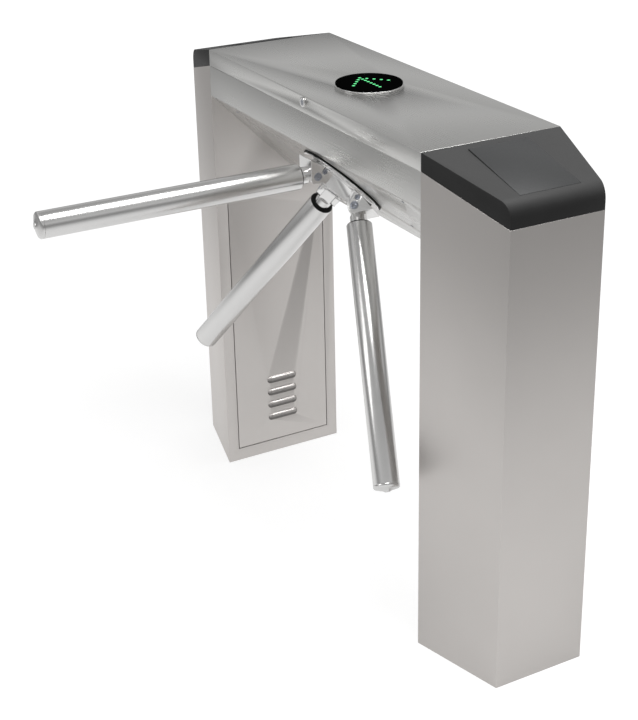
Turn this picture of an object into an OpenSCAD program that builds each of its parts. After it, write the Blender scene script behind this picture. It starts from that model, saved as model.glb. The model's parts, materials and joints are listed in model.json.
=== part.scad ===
// Tripod turnstile, bridge type: two pedestals carry a beam that holds the tilted tripod head.
// Millimetres. Z is up, X runs across the lane (the arms are on the -X side), Y along the cabinet.
// The origin lies on the floor, in the middle of the cabinet.

/* [Cabinet] */
// Height of the lid above the floor
overall_h = 980; // [950:1:1060]
// Clear length between the two pedestals
passage_l = 832; // [800:1:900]
// Length of each pedestal
pedestal_l = 194; // [185:1:230]
// Width of the beam and of the inner faces of the pedestals
cabinet_w = 287; // [280:1:310]
// Width of a pedestal at its outer end
end_w = 191; // [182:1:230]
// Thickness of the cabinet sheet
sheet_t = 2; // [1.5:0.1:2.5]
// Height of the lid's skirt
lid_h = 34; // [32:1:40]
// Height of the beam's upright front side under the lid
beam_side_h = 64; // [55:1:75]
// Horizontal run of the sloping face, which lies at 45 degrees
slope_run = 190; // [184:1:200]
// Fall of a pedestal's top edge to its outer end
rim_drop = 53; // [50:1:56]

/* [End caps] */
// Fall of a cap's top from its inner to its outer edge
cap_drop = 46; // [42:1:50]
// Radius of a cap's rounded nose
nose_r = 30; // [24:1:34]
// Wall of a cap
cap_t = 3; // [2.5:0.1:4]
// Width of the card reader window
window_w = 123; // [100:1:130]
// Distance from the card reader window to the cap's nose
window_margin = 1; // [1:1:20]
// Height of the card reader window's inner end above the cap
window_rise = 2.4; // [1:0.1:3]

/* [Doors] */
// Width of a pedestal door
door_w = 232; // [220:1:238]
// Height of a door's lower edge above the floor
door_z = 31; // [25:1:45]
// Distance from a door's upper edge to the beam's underside
door_head = 32; // [25:1:45]
// Gap round a door
door_gap = 1.8; // [1.6:0.1:3]
// Depth of a door's folded edge
door_depth = 12; // [10:1:14]
// Length of a louvre
louvre_l = 76; // [50:1:90]
// Radius of a louvre's hood
louvre_r = 9.5; // [8:0.5:11]
// Distance from louvre to louvre
louvre_pitch = 31.8; // [28:0.1:40]

/* [Indicator] */
// Radius of the indicator's housing
indicator_r = 66; // [60:1:75]
// Height of the indicator above the lid
indicator_h = 6; // [5:0.5:9]
// Distance from light to light in the arrow
led_pitch = 11; // [9:0.5:12]

/* [Arms] */
// Depth of the arms' meeting point behind the sloping face
apex_depth = 33.3; // [32:0.1:35]
// Distance from the arms' meeting point to an arm's tip
arm_reach = 646; // [600:1:655]
// Outer radius of an arm's tube
arm_r = 25; // [23:0.5:26]
// Wall of an arm's tube
arm_wall = 1.5; // [1:0.1:3]

/* [Hub] */
// Radius of the hub's base disc
hub_r = 71; // [68:1:74]
// Radius of the thin flange under the hub's base disc
flange_r = 91; // [80:1:94]
// Height of the hub's middle above the sloping face
hub_h = 33; // [32:1:35]
// Width of the hub's fork from side to side
fork_w = 47; // [45:1:50]
// Width of an arm's shank between the fork's ears
shank_w = 25; // [23:1:26]
// Outer radius of the black ring on the sloping face
seal_r = 93; // [85:1:96]

/* [Mechanism] */
// Thickness of the mechanism's two plates
plate_t = 10; // [9:1:12]
// Clear distance between the plates
plate_gap = 70; // [68:1:73]
// Module of the gears
gear_m = 3; // [3:0.1:3.2]
// Radius of the lock wheel
wheel_r = 52; // [50:0.5:53]

/* [Hidden] */
$fn = 64;

// Colours
steel_col = [0.72, 0.71, 0.69];
chrome_col = [0.82, 0.83, 0.85];
black_col = [0.12, 0.12, 0.13];
window_col = [0.2, 0.2, 0.21];
zinc_col = [0.62, 0.63, 0.66];
board_col = [0.07, 0.32, 0.16];
led_col = [0.2, 0.9, 0.35];

// The overrun of cuts, and the clearances: a turning or sliding fit, a loose fit, a sheet's seam
eps = 1;
run_gap = 0.05;
slip_gap = 0.3;
seam_gap = 0.4;
root2 = sqrt(2);

// Cabinet: places along Y and Z, and the slopes of its walls
half_w = cabinet_w / 2;
yi = passage_l / 2;
yo = yi + pedestal_l;
seam_z = overall_h - lid_h;
slope_top_z = seam_z - beam_side_h;
beam_z = slope_top_z - slope_run;
taper_share = (cabinet_w - end_w) / 2 / pedestal_l;
taper_wall_share = sqrt(1 + taper_share * taper_share);
rim_share = rim_drop / pedestal_l;
fold_45_share = root2 - 1;
rim_w = 14;
base_t = 5;
anchor_r = 7;
anchor_x = 70;
anchor_in = 40;
anchor_out = 35;
conduit_r = 30;
cable_window_w = 100;
cable_window_h = 110;
cable_window_in = 94;

// Sloping face: the tripod's axis leaves it here, square to it
face_share = 0.435;
face_x = -half_w + slope_run * face_share;
face_z = slope_top_z - slope_run * face_share;
face_turn = 225;
cone_turn = 45;
arm_turns = [0, 120, -120];

// End caps, reader windows and card readers
cap_angle = atan(cap_drop / pedestal_l);
nose_reach_share = tan((90 - cap_angle) / 2);
window_t = 2;
window_edge = 18.3;
window_l = pedestal_l / cos(cap_angle) - nose_r * nose_reach_share - window_edge - window_margin;
lip_h = 8;
lip_t = 2;
reader_w = 86;
reader_l = 100;
reader_h = 16;

// Doors
door_h = beam_z - door_head - door_z;
door_sheet_share = 0.75;
door_t = sheet_t * door_sheet_share;
hinge_in = 20;
hinge_deep = 6.5;
hinge_pin_r = 3;
hinge_pin_l = 14;
hinge_head_r = 4;
hinge_head_h = 2;
door_lock_in = 18;
door_lock_drop = 65;
louvre_low = 60;
louvre_sink = 3;
louvre_t = 1.2;
louvre_cut_share = 0.75;
louvres = 4;

// Locks of the doors and the lid
barrel_r = 8;
barrel_l = 20;
lock_head_r = 9.5;
lock_head_h = 2.5;
lock_nut_r = 9.5;
lock_nut_h = 3;
plug_r = 5.5;
cam_eye_r = 6.5;
cam_w = 9;
cam_t = 2;
cam_reach = 26;
key_w = 1.6;
key_l = 7;
key_deep = 3;
lid_lock_share = 0.62;
lid_lock_z = seam_z + lid_h * lid_lock_share;
striker_t = 2;
striker_in = 11.5;
striker_foot_l = 20;

// Lid hinges
lid_gap = 0.3;
knuckle_r = 3.5;
lid_pin_r = 1.5;
knuckle_l = 29.4;
knuckle_space = 0.6;
knuckles = 3;
hinge_l = knuckles * knuckle_l + (knuckles - 1) * knuckle_space;
leaf_t = 1.5;
leaf_h = 22;
relief = 1;
lid_hinge_share = 0.67;
lid_hinge_z = seam_z + seam_gap / 2;

// Indicator
spigot_in = 10;
spigot_r = indicator_r - spigot_in;
spigot_l = 8;
spigot_wall = 4;
bezel_w = 4;
bezel_step = 1;
bezel_foot = 2;
bezel_sink = 1;
lens_t = 3;
led_r = 3.1;
led_h = 2;
led_rows = 8;
led_tip_y = 36;
led_side_share = 0.88;
board_t = 1.6;

// Hub and arms: places along an arm's axis from the meeting point, and beside it
fork_end = 105;
fork_in = 67;
fork_side = 13.4;
fork_corner_r = 9;
lobe_low = -36;
lobe_root = 66;
shank_in = 68;
shank_low = 13;
shank_high = 12;
slot_low = shank_low + slip_gap;
neck_r = 16.5;
neck_l = 15;
collar_t = 3;
tube_start = fork_end + neck_l + collar_t;
plug_l = 40;
tip_l = 12;
tip_plug_l = 20;
tip_shares = [[1, 0], [1, 0.3], [0.93, 0.45], [0.3, 0.85], [0.22, 1], [0, 1]];
big_bolt = [90, -0.5];
big_bolt_r = 6;
big_head_r = 8;
big_head_h = 2.5;
big_sink = 1.5;
small_bolt = [75, -8];
small_bolt_r = 3.5;
small_head_r = 5.6;
small_head_h = 5;
small_sink = 7;
socket_share = 0.55;
ear_gap = 0.4;
hub_low = 3;
flange_top = 5;
hub_edge = 7.5;
hub_top = 8.5;
hub_edge_w = 4;
core_side = 41;
boss_r = 20;
seal_t = 2.5;
seal_bore_r = 24;
hub_sink_r = 14;
hub_sink = 10;
hub_bolt_r = 6;
hub_bolt_l = 25;
hub_bolt_head_r = 9;
hub_bolt_head_h = 8;
shaft_in_hub = 12;

// Mechanism frame and bearings: depths behind the sloping face
front_top = sheet_t;
front_low = front_top + plate_t;
rear_top = front_low + plate_gap;
rear_low = rear_top + plate_t;
plate_l = 240;
plate_w = 184;
shaft_r = 15;
bearing_r = 31;
bearing_w = 16;
bearing_sink = 4;
bearing_top = front_low - bearing_sink;
bearing_lip = 2;
rear_bearing_top = rear_low - bearing_lip - bearing_w;
boss_wall = 9;
lip_bore_r = 22;
ball_r = 4.76;
ball_ring_r = 23;
balls = 9;
inner_race_r = 20.2;
outer_race_r = 25.8;
shoulder_r = 19;
pillar_x = 78;
pillar_y = 105;
pillar_r = 8;
screw_r = 3;
screw_head_r = 5;
screw_head_h = 2.6;
screw_in = 14;
sheet_screw_r = 2.5;
sheet_screw_head_r = 3;
sheet_screw_head_h = 0.8;
mount_screw_place = 52;
mount_screw_in = 8;
low_screw_x = -73;
low_screw_y = 173;
high_screw_x = 91;
high_screw_y = 329;
clinch_r = 6;
clinch_h = 4;

// Lock wheel, pawls, plungers and solenoids
wheel_deep_share = 0.54;
wheel_top = front_low + plate_gap * wheel_deep_share;
wheel_t = 10;
wheel_hub_r = 24;
wheel_hub_t = 20;
notches = 12;
notch_w = 15;
notch_deep = 9.5;
pawl_t = 8;
pawl_mid = wheel_top + wheel_t / 2;
pawl_turn = 8;
pawl_place = 60;
pawl_l = 40;
pawl_drop = 55;
pawl_eye_r = 11;
pawl_pin_r = 5;
pawl_step_r = 8;
pawl_nose_w = 8;
pawl_arm_low = 5;
pawl_arm_high = 12;
pawl_clear = 2.2;
clip_t = 1;
tail_l = 30;
tail_w = 15;
tail_end = 6.4;
tail_slot_r = 3.05;
tail_slot_l = 2;
plunger_r = 6;
plunger_l = 44;
plunger_pin_r = 3;
cheek_t = 3;
fork_half = 8.6;
solenoid_x = 18.4;
solenoid_l = 48;
solenoid_w = 30;
solenoid_wall = 3;

// Gears, motor, encoder and sensor
gear_teeth = 40;
pinion_teeth = 16;
pressure = 20;
backlash = 0.25;
root_share = 1.25;
flank_steps = 4;
gear_gap = gear_m * (gear_teeth + pinion_teeth) / 2;
gear_space = 6;
gear_top = rear_low + gear_space;
gear_t = 12;
gear_low = gear_top + gear_t;
gear_hub_r = 26;
gear_hub_t = 6;
gear_hub_gap = 2;
gear_holes = 6;
pinion_t = 16;
pinion_over = 2;
pinion_shaft_r = 6;
pinion_shaft_in = 20;
motor_r = 25;
motor_flange_r = 26;
motor_flange_t = 4;
motor_neck_r = 14;
motor_l = 60;
motor_end_r = 20;
motor_end_t = 6;
nut_top = gear_low + gear_hub_t;
nut_t = 8;
nut_r = 22;
disc_top = nut_top + nut_t;
disc_r = 45;
disc_t = 1.6;
disc_hub_r = 18;
disc_hub_t = 2;
disc_slot_w = 5;
disc_slot_l = 9;
disc_gap = 4;
disc_play = 1;
sensor_w = 26;
sensor_post_r = 4;
sensor_side = 2;

// Control board and power supply; the board's blocks are [y, z, length, height, depth]
control_l = 200;
control_h = 130;
control_in = 166;
control_y = yi - control_in;
control_up = 120;
standoff_l = 10;
standoff_r = 4;
block_shares = [
    [0.08, 0.8, 0.17, 0.14, 0.1],
    [0.29, 0.8, 0.17, 0.14, 0.1],
    [0.5, 0.8, 0.17, 0.14, 0.1],
    [0.71, 0.8, 0.17, 0.14, 0.1],
    [0.12, 0.3, 0.09, 0.24, 0.12],
    [0.25, 0.3, 0.09, 0.24, 0.12],
    [0.38, 0.3, 0.09, 0.24, 0.12],
    [0.6, 0.4, 0.18, 0.26, 0.03],
    [0.56, 0.1, 0.06, 0.1, 0.14],
    [0.68, 0.1, 0.06, 0.1, 0.14]
];
supply_l = 160;
supply_w = 98;
supply_d = 42;
supply_z = 330;
vents = 9;
vent_deep = 3;
vent_h = 6;
vent_pitch = 14;
vent_edge = 8;

// Half the width of a pedestal at a place along it, less a wall
function half_w_at(y, wall) = half_w - (y - yi) * taper_share - wall * taper_wall_share;

// Radius and height above the sloping face of a point along and beside an arm's axis
function fork_point(along, beside) =
    [(along - beside) / root2, (along + beside) / root2 - apex_depth];

// Extrudes a [y, z] outline along X
module along_x(width) {
    rotate([90, 0, 90])
        linear_extrude(height = width, center = true)
            children();
}

// Extrudes an [x, z] outline along Y
module along_y(length) {
    rotate([90, 0, 0])
        linear_extrude(height = length, center = true)
            children();
}

// Turns the far end's children over to the near end
module near() {
    mirror([0, 1, 0])
        children();
}

// The tripod's own frame: Z leaves the sloping face, X climbs along it, Y as in the cabinet
module on_face(height) {
    translate([face_x, 0, face_z])
        rotate([0, face_turn, 0])
            translate([0, 0, height])
                children();
}

// An arm's own frame: Z along the arm from the meeting point, -X away from the sloping face
module on_arm(turn) {
    on_face(-apex_depth)
        rotate([0, 0, turn])
            rotate([0, cone_turn, 0])
                children();
}

// A hole or pin square to an arm, at a place along and beside its axis
module across_arm(place) {
    translate([-place[1], 0, place[0]])
        rotate([90, 0, 0])
            children();
}

module all_round(count) {
    for (k = [0 : count - 1])
        rotate([0, 0, k * 360 / count])
            children();
}

// A cut through everything from z = 0 up to a height
module bore(r, height) {
    translate([0, 0, -eps])
        cylinder(r = r, h = height + 2 * eps);
}

// Plan of a pedestal, drawn in by a wall on every side
module pedestal_plan(wall) {
    inner = yi + wall;
    outer = yo - wall;
    polygon([
        [half_w_at(inner, wall), inner],
        [half_w_at(outer, wall), outer],
        [-half_w_at(outer, wall), outer],
        [-half_w_at(inner, wall), inner]
    ]);
}

// Everything below the sloping line where steel meets plastic
module below_rim(shift) {
    along_x(2 * cabinet_w)
        polygon([
            [0, -eps],
            [yi + yo, -eps],
            [yi + yo, seam_z + shift - yo * rim_share],
            [yi, seam_z + shift],
            [0, seam_z + shift]
        ]);
}

// The door's place in the pedestal's inner wall, grown by a gap
module door_block(grow, depth) {
    translate([-door_w / 2 - grow, yi, door_z - grow])
        cube([door_w + 2 * grow, depth, door_h + 2 * grow]);
}

module door_hinge_places() {
    for (end = [0, 1])
        translate([-door_w / 2 + hinge_in, yi + hinge_deep, door_z + end * door_h])
            mirror([0, 0, end])
                translate([0, 0, -door_gap - sheet_t])
                    children();
}

module pedestal() {
    difference() {
        union() {
            difference() {
                intersection() {
                    linear_extrude(height = seam_z)
                        pedestal_plan(0);
                    below_rim(0);
                }
                translate([0, 0, -eps])
                    linear_extrude(height = seam_z + 2 * eps)
                        pedestal_plan(sheet_t);
            }
            door_block(door_gap + sheet_t, barrel_l);
        }
        translate([0, -eps, 0])
            door_block(door_gap, barrel_l + 2 * eps);
        door_hinge_places()
            bore(hinge_pin_r, sheet_t);
        translate([half_w - cable_window_in, yi, (beam_z + seam_z) / 2])
            cube([cable_window_w, 3 * sheet_t, cable_window_h], center = true);
    }
}

module near_pedestal() {
    color(steel_col)
        near()
            pedestal();
}

module far_pedestal() {
    color(steel_col)
        pedestal();
}

module base_plate() {
    difference() {
        linear_extrude(height = base_t)
            pedestal_plan(sheet_t);
        for (x = [-anchor_x, anchor_x], y = [yi + anchor_in, yo - anchor_out])
            translate([x, y, 0])
                bore(anchor_r, base_t);
        translate([0, (yi + yo) / 2, 0])
            bore(conduit_r, base_t);
    }
}

module near_base_plate() {
    color(zinc_col)
        near()
            base_plate();
}

module far_base_plate() {
    color(zinc_col)
        base_plate();
}

// Section of the beam across the lane, drawn in by a wall
module beam_section(wall, top) {
    corner = wall * fold_45_share;
    polygon([
        [-half_w + wall, top],
        [-half_w + wall, slope_top_z + corner],
        [-half_w + slope_run + corner, beam_z + wall],
        [half_w - wall, beam_z + wall],
        [half_w - wall, top]
    ]);
}

module lid_hinge_places() {
    for (side = [-1, 1])
        translate([half_w, side * yi * lid_hinge_share, lid_hinge_z])
            children();
}

// Room for a lid hinge's knuckles at the seam
module hinge_relief() {
    reach = sheet_t + eps;
    room = knuckle_r + relief;
    translate([-reach, -hinge_l / 2 - relief, -room])
        cube([2 * reach, hinge_l + 2 * relief, 2 * room]);
}

module pillar_places() {
    for (x = [-pillar_x, pillar_x], y = [-pillar_y, pillar_y])
        translate([x, y, 0])
            children();
}

module mount_screw_places() {
    for (x = [-mount_screw_place, mount_screw_place], y = [-mount_screw_place, mount_screw_place])
        translate([x, y, 0])
            children();
}

// The cone of a screw sunk flush into the sheet, from the sheet's inner face up
module countersink(overrun) {
    height = sheet_t + overrun;
    cylinder(r1 = sheet_screw_r, r2 = sheet_screw_r + height, h = height);
}

module edge_screw_places() {
    for (side = [-1, 1]) {
        translate([low_screw_x, side * low_screw_y, 0])
            children();
        translate([high_screw_x, side * high_screw_y, 0])
            children();
    }
}

module beam() {
    color(steel_col)
        difference() {
            union() {
                along_y(2 * yi)
                    difference() {
                        beam_section(0, seam_z);
                        beam_section(sheet_t, seam_z + eps);
                    }
                translate([-half_w, -yi, seam_z - sheet_t])
                    cube([rim_w, 2 * yi, sheet_t]);
            }
            lid_hinge_places()
                hinge_relief();
            on_face(-sheet_t) {
                bore(seal_bore_r, sheet_t);
                mount_screw_places() {
                    bore(sheet_screw_r, sheet_t);
                    countersink(eps);
                }
                edge_screw_places()
                    bore(sheet_screw_r, sheet_t);
            }
        }
}

// Side outline of a cap, drawn in by a wall, reaching down below the rim by a depth
module cap_side(wall, depth) {
    r = nose_r - wall;
    reach = r * nose_reach_share;
    inner = yi + wall;
    outer = yo - wall;
    top = overall_h - wall / cos(cap_angle) - wall * tan(cap_angle);
    corner = [outer, top - (outer - inner) * tan(cap_angle)];
    on_top = corner + reach * [-cos(cap_angle), sin(cap_angle)];
    on_end = corner - [0, reach];
    polygon([
        [inner, seam_z - depth - wall * rim_share],
        [outer, seam_z - depth - (outer - yi) * rim_share],
        on_end,
        on_top,
        [inner, top]
    ]);
    intersection() {
        translate(on_end - [r, 0])
            circle(r = r);
        polygon([on_end - [r, 0], on_end, corner, on_top]);
    }
}

// The cap's own plane: Z square to its top, Y down the slope from the inner edge
module on_cap() {
    translate([0, yi, overall_h])
        rotate([-cap_angle, 0, 0])
            children();
}

// The rim that locates the cap inside the pedestal
module cap_lip() {
    outer_wall = sheet_t + slip_gap;
    intersection() {
        difference() {
            linear_extrude(height = overall_h)
                pedestal_plan(outer_wall);
            linear_extrude(height = overall_h)
                pedestal_plan(outer_wall + lip_t);
        }
        difference() {
            below_rim(lip_h / 2);
            below_rim(-lip_h);
        }
    }
}

module end_cap() {
    difference() {
        intersection() {
            along_x(cabinet_w)
                cap_side(0, 0);
            linear_extrude(height = overall_h)
                pedestal_plan(0);
        }
        intersection() {
            along_x(cabinet_w)
                cap_side(cap_t, lid_h);
            linear_extrude(height = overall_h)
                pedestal_plan(cap_t);
        }
        on_cap()
            translate([-window_w / 2, window_edge, -window_t])
                cube([window_w, window_l, window_t + eps]);
    }
    cap_lip();
}

module near_end_cap() {
    color(black_col)
        near()
            end_cap();
}

module far_end_cap() {
    color(black_col)
        end_cap();
}

// The window stands out of the cap at its inner end and runs out flush towards the nose
module reader_window() {
    low = window_edge + slip_gap;
    high = window_edge + window_l - slip_gap;
    on_cap()
        along_x(window_w - 2 * slip_gap)
            polygon([[low, -window_t], [high, -window_t], [high, 0], [low, window_rise]]);
}

module near_reader_window() {
    color(window_col)
        near()
            reader_window();
}

module far_reader_window() {
    color(window_col)
        reader_window();
}

module card_reader() {
    on_cap()
        translate([-reader_w / 2, window_edge + (window_l - reader_l) / 2, -cap_t - reader_h])
            cube([reader_w, reader_l, reader_h]);
}

module card_readers() {
    color(black_col) {
        card_reader();
        near()
            card_reader();
    }
}

// A lock's barrel: Z leaves the door or skirt, whose outer face is at zero
module lock_barrel() {
    difference() {
        union() {
            translate([0, 0, -barrel_l])
                cylinder(r = barrel_r, h = barrel_l);
            cylinder(r = lock_head_r, h = lock_head_h);
            translate([0, 0, -sheet_t - lock_nut_h])
                cylinder(r = lock_nut_r, h = lock_nut_h, $fn = 6);
        }
        translate([0, 0, -barrel_l])
            bore(plug_r + run_gap, barrel_l + lock_head_h);
    }
}

// A lock's plug with its cam, which points down when the lock is open
module lock_plug() {
    cam_low = -barrel_l - slip_gap - cam_t;
    difference() {
        translate([0, 0, cam_low])
            cylinder(r = plug_r, h = lock_head_h - cam_low);
        translate([-key_w / 2, -key_l / 2, lock_head_h - key_deep])
            cube([key_w, key_l, key_deep + eps]);
    }
    translate([0, 0, cam_low]) {
        translate([-cam_w / 2, -cam_reach, 0])
            cube([cam_w, cam_reach, cam_t]);
        cylinder(r = cam_eye_r, h = cam_t);
    }
}

module louvre_body(wall) {
    reach = louvre_l / 2 - louvre_r;
    rotate([0, 90, 0])
        cylinder(r = louvre_r - wall, h = 2 * reach, center = true);
    for (side = [-1, 1])
        translate([side * reach, 0, 0])
            sphere(r = louvre_r - wall);
}

// A louvre's hood stands out of the door's face and is open underneath
module louvre_hood() {
    difference() {
        louvre_body(0);
        louvre_body(louvre_t);
        translate([-louvre_l, -louvre_sink + door_t / 2, -louvre_l])
            cube([2 * louvre_l, louvre_l, 2 * louvre_l]);
        translate([-louvre_l, -louvre_l, -louvre_l - louvre_r * louvre_cut_share])
            cube([2 * louvre_l, 2 * louvre_l, louvre_l]);
    }
}

module louvre_places() {
    for (row = [0 : louvres - 1])
        translate([0, yi + louvre_sink, door_z + louvre_low + row * louvre_pitch])
            children();
}

module door_lock_place() {
    translate([door_w / 2 - door_lock_in, yi, door_z + door_h - door_lock_drop])
        rotate([90, 0, 0])
            children();
}

module door() {
    difference() {
        union() {
            difference() {
                door_block(0, door_depth);
                translate([-door_w / 2 + door_t, yi + door_t, door_z + door_t])
                    cube([door_w - 2 * door_t, door_depth, door_h - 2 * door_t]);
                louvre_places()
                    louvre_body(louvre_t);
            }
            louvre_places()
                louvre_hood();
        }
        door_hinge_places()
            bore(hinge_pin_r + run_gap, sheet_t + door_gap + door_t);
        door_lock_place()
            translate([0, 0, -door_t])
                bore(barrel_r, door_t);
    }
}

module near_door() {
    color(steel_col)
        near()
            door();
}

module far_door() {
    color(steel_col)
        door();
}

module near_door_barrel() {
    color(chrome_col)
        near()
            door_lock_place()
                lock_barrel();
}

module far_door_barrel() {
    color(chrome_col)
        door_lock_place()
            lock_barrel();
}

module near_door_plug() {
    color(zinc_col)
        near()
            door_lock_place()
                lock_plug();
}

module far_door_plug() {
    color(zinc_col)
        door_lock_place()
            lock_plug();
}

module door_hinge_pin() {
    cylinder(r = hinge_pin_r, h = hinge_pin_l);
    translate([0, 0, -hinge_head_h])
        cylinder(r = hinge_head_r, h = hinge_head_h);
}

module door_hinge_pins() {
    color(zinc_col) {
        door_hinge_places()
            door_hinge_pin();
        near()
            door_hinge_places()
                door_hinge_pin();
    }
}

module lid_lock_place() {
    translate([-half_w, 0, lid_lock_z])
        rotate([0, -90, 0])
            rotate([0, 0, -90])
                children();
}

module lid() {
    lid_l = 2 * (yi - lid_gap);
    inner_w = cabinet_w - 2 * sheet_t;
    color(steel_col)
        difference() {
            translate([-half_w, -lid_l / 2, seam_z + seam_gap])
                cube([cabinet_w, lid_l, lid_h - seam_gap]);
            translate([-inner_w / 2, -lid_l / 2 + sheet_t, seam_z])
                cube([inner_w, lid_l - 2 * sheet_t, lid_h - sheet_t]);
            lid_hinge_places()
                hinge_relief();
            translate([0, 0, overall_h - sheet_t])
                bore(spigot_r, sheet_t);
            lid_lock_place()
                translate([0, 0, -sheet_t])
                    bore(barrel_r, sheet_t);
        }
}

module lid_lock_barrel() {
    color(chrome_col)
        lid_lock_place()
            lock_barrel();
}

module lid_lock_plug() {
    color(zinc_col)
        lid_lock_place()
            lock_plug();
}

// The striker stands on the beam's rim, and its tongue lies over the turned cam
module lid_striker() {
    cam_x = -half_w + barrel_l + slip_gap;
    post_y = cam_reach + striker_t;
    tongue_z = lid_lock_z + cam_w / 2 + seam_gap;
    color(zinc_col) {
        translate([-half_w + sheet_t + relief, post_y, seam_z])
            cube([barrel_l + cam_w, striker_foot_l, striker_t]);
        translate([cam_x - cam_w / 2, post_y, seam_z])
            cube([cam_w, striker_t, tongue_z + striker_t - seam_z]);
        translate([cam_x - cam_w / 2, striker_in, tongue_z])
            cube([cam_w, post_y - striker_in, striker_t]);
    }
}

// Knuckles of a hinge, every second one from a first, with the leaf that carries them
module hinge_leaf(first, bore_r) {
    leaf_z = knuckle_r + slip_gap;
    for (k = [first : 2 : knuckles - 1])
        translate([0, -hinge_l / 2 + k * (knuckle_l + knuckle_space), 0])
            difference() {
                union() {
                    rotate([-90, 0, 0])
                        cylinder(r = knuckle_r, h = knuckle_l);
                    translate([-sheet_t - leaf_t, 0, 0])
                        cube([leaf_t, knuckle_l, leaf_z]);
                }
                rotate([-90, 0, 0])
                    bore(bore_r, knuckle_l);
            }
    translate([-sheet_t - leaf_t, -hinge_l / 2, leaf_z])
        cube([leaf_t, hinge_l, leaf_h]);
}

module lid_hinge_leaves() {
    color(zinc_col)
        lid_hinge_places()
            mirror([0, 0, 1])
                hinge_leaf(0, lid_pin_r);
}

module lid_hinge_straps() {
    color(zinc_col)
        lid_hinge_places()
            hinge_leaf(1, lid_pin_r + run_gap);
}

module lid_hinge_pins() {
    color(zinc_col)
        lid_hinge_places()
            rotate([90, 0, 0])
                cylinder(r = lid_pin_r, h = hinge_l, center = true);
}

// The arrow's lights: a shaft along Y and a head at its far end
led_places = concat(
    [for (k = [0 : led_rows - 1]) [0, led_tip_y - k * led_pitch]],
    [for (k = [1 : led_rows / 2], side = [-1, 1])
        [side * k * led_pitch * led_side_share, led_tip_y - k * led_pitch]]
);
lens_z = indicator_h - bezel_sink;

module indicator_housing() {
    color(black_col)
        translate([0, 0, overall_h])
            difference() {
                rotate_extrude()
                    polygon([
                        [0, -spigot_l],
                        [spigot_r, -spigot_l],
                        [spigot_r, 0],
                        [indicator_r, 0],
                        [indicator_r, bezel_foot],
                        [indicator_r - bezel_step, bezel_foot],
                        [indicator_r - bezel_step, indicator_h - bezel_step],
                        [indicator_r - 2 * bezel_step, indicator_h],
                        [indicator_r - bezel_w, indicator_h],
                        [indicator_r - bezel_w, lens_z],
                        [0, lens_z]
                    ]);
                translate([0, 0, -spigot_l - eps])
                    cylinder(r = spigot_r - spigot_wall, h = spigot_l + eps + lens_z - lens_t);
                for (p = led_places)
                    translate(p)
                        bore(led_r, lens_z);
            }
}

module indicator_leds() {
    color(led_col)
        translate([0, 0, overall_h + lens_z - lens_t - led_h])
            for (p = led_places)
                translate(p)
                    cylinder(r = led_r, h = lens_t + led_h);
}

module indicator_board() {
    color(board_col)
        translate([0, 0, overall_h + lens_z - lens_t - led_h - board_t])
            cylinder(r = spigot_r - spigot_wall, h = board_t);
}

module hub_seal() {
    color(black_col)
        on_face(0)
            difference() {
                cylinder(r = seal_r, h = seal_t);
                bore(seal_bore_r, seal_t);
            }
}

// Side outline of one lobe of the hub, in radius and height above the sloping face
module lobe_side() {
    inner = fork_end - fork_corner_r;
    low = fork_side - fork_corner_r;
    difference() {
        polygon([
            [0, hub_edge],
            [lobe_root, hub_edge],
            fork_point(fork_end, lobe_low),
            fork_point(fork_end, fork_side),
            [hub_h + apex_depth - fork_side * root2, hub_h],
            [0, hub_h]
        ]);
        difference() {
            polygon([
                fork_point(fork_end + eps, fork_side + eps),
                fork_point(inner, fork_side + eps),
                fork_point(inner, low),
                fork_point(fork_end + eps, low)
            ]);
            translate(fork_point(inner, low))
                circle(r = fork_corner_r);
        }
    }
}

// The bolts' holes through a fork, with a sunk seat for each head
module fork_holes() {
    for (side = [0, 1])
        mirror([0, side, 0]) {
            across_arm(big_bolt) {
                cylinder(r = big_bolt_r, h = fork_w);
                translate([0, 0, fork_w / 2 - big_sink])
                    cylinder(r = big_head_r, h = fork_w);
            }
            across_arm(small_bolt) {
                cylinder(r = small_bolt_r, h = fork_w);
                translate([0, 0, fork_w / 2 - small_sink])
                    cylinder(r = small_head_r, h = fork_w);
            }
        }
}

module hub() {
    core_r = 2 * core_side;
    slot_w = shank_w + 2 * ear_gap;
    color(chrome_col)
        difference() {
            union() {
                on_face(hub_low)
                    cylinder(r = flange_r, h = flange_top - hub_low);
                on_face(hub_low)
                    cylinder(r = hub_r, h = hub_edge - hub_low);
                on_face(hub_edge)
                    cylinder(r = hub_r - hub_edge_w, h = hub_top - hub_edge);
                on_face(hub_edge)
                    linear_extrude(height = hub_h - hub_edge)
                        polygon([for (turn = arm_turns) core_r * [cos(turn), sin(turn)]]);
                on_face(0)
                    for (turn = arm_turns)
                        rotate([0, 0, turn])
                            along_y(fork_w)
                                lobe_side();
                on_face(-bearing_top)
                    cylinder(r = boss_r, h = bearing_top + hub_edge);
            }
            for (turn = arm_turns)
                on_arm(turn) {
                    translate([-fork_end, -slot_w / 2, fork_in])
                        cube([fork_end + slot_low, slot_w, fork_end]);
                    fork_holes();
                }
            on_face(-bearing_top) {
                bore(shaft_r, bearing_top + shaft_in_hub - eps);
                bore(hub_bolt_r, bearing_top + hub_h);
            }
            on_face(hub_h - hub_sink)
                cylinder(r = hub_sink_r, h = hub_sink + eps);
        }
}

module hub_bolt() {
    color(zinc_col)
        on_face(hub_h - hub_sink) {
            translate([0, 0, -hub_bolt_l])
                cylinder(r = hub_bolt_r, h = hub_bolt_l);
            difference() {
                cylinder(r = hub_bolt_head_r, h = hub_bolt_head_h);
                translate([0, 0, hub_bolt_head_h * (1 - socket_share)])
                    cylinder(r = hub_bolt_head_r * socket_share, h = hub_bolt_head_h, $fn = 6);
            }
        }
}

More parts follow.
